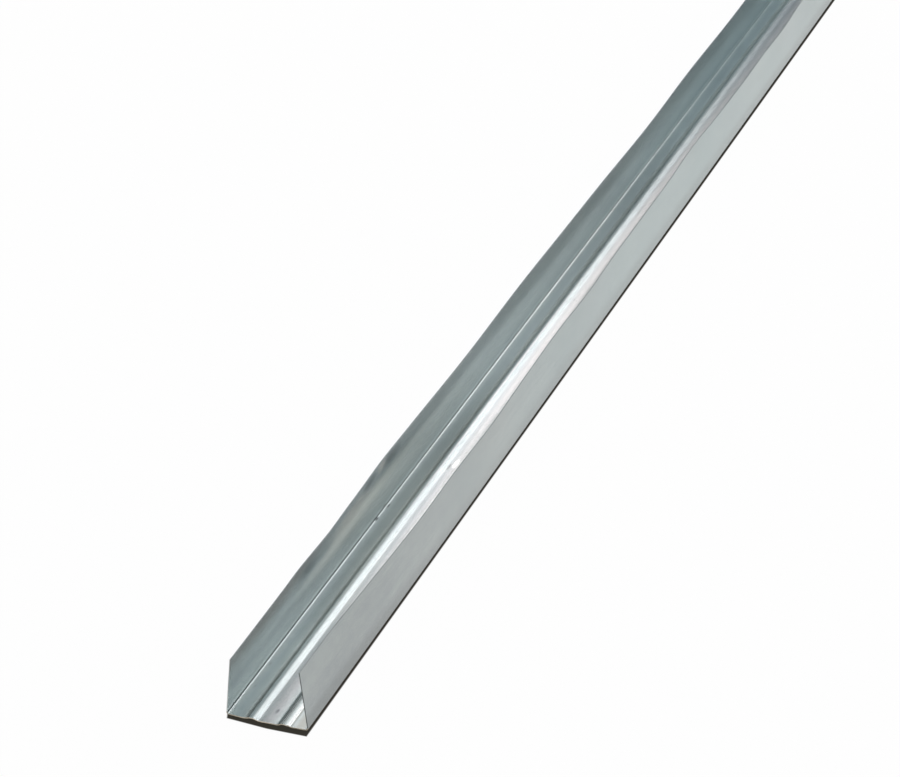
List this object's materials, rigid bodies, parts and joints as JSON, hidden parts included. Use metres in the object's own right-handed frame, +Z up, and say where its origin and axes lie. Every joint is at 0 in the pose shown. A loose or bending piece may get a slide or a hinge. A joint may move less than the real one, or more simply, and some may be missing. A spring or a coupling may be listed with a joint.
{
  "type": "drywall track",
  "caption": "Long U-shaped channel of thin galvanised steel sheet, with ribs along its web and flanges that toe in, fixed to a floor or ceiling to hold the ends of wall studs.",
  "frame": {"origin": "middle of the web's underside, halfway along the stock", "axes": "+X across the web, +Y along the stock, +Z up out of the channel's open side"},
  "size_m": [0.0424, 3.048, 0.0318],
  "materials": {
    "galvanised_sheet": "hot-dip galvanised, smooth mill finish with faint rolling marks"
  },
  "bodies": {
    "root": {"track": "galvanised_sheet"}
  },
  "joints": []
}
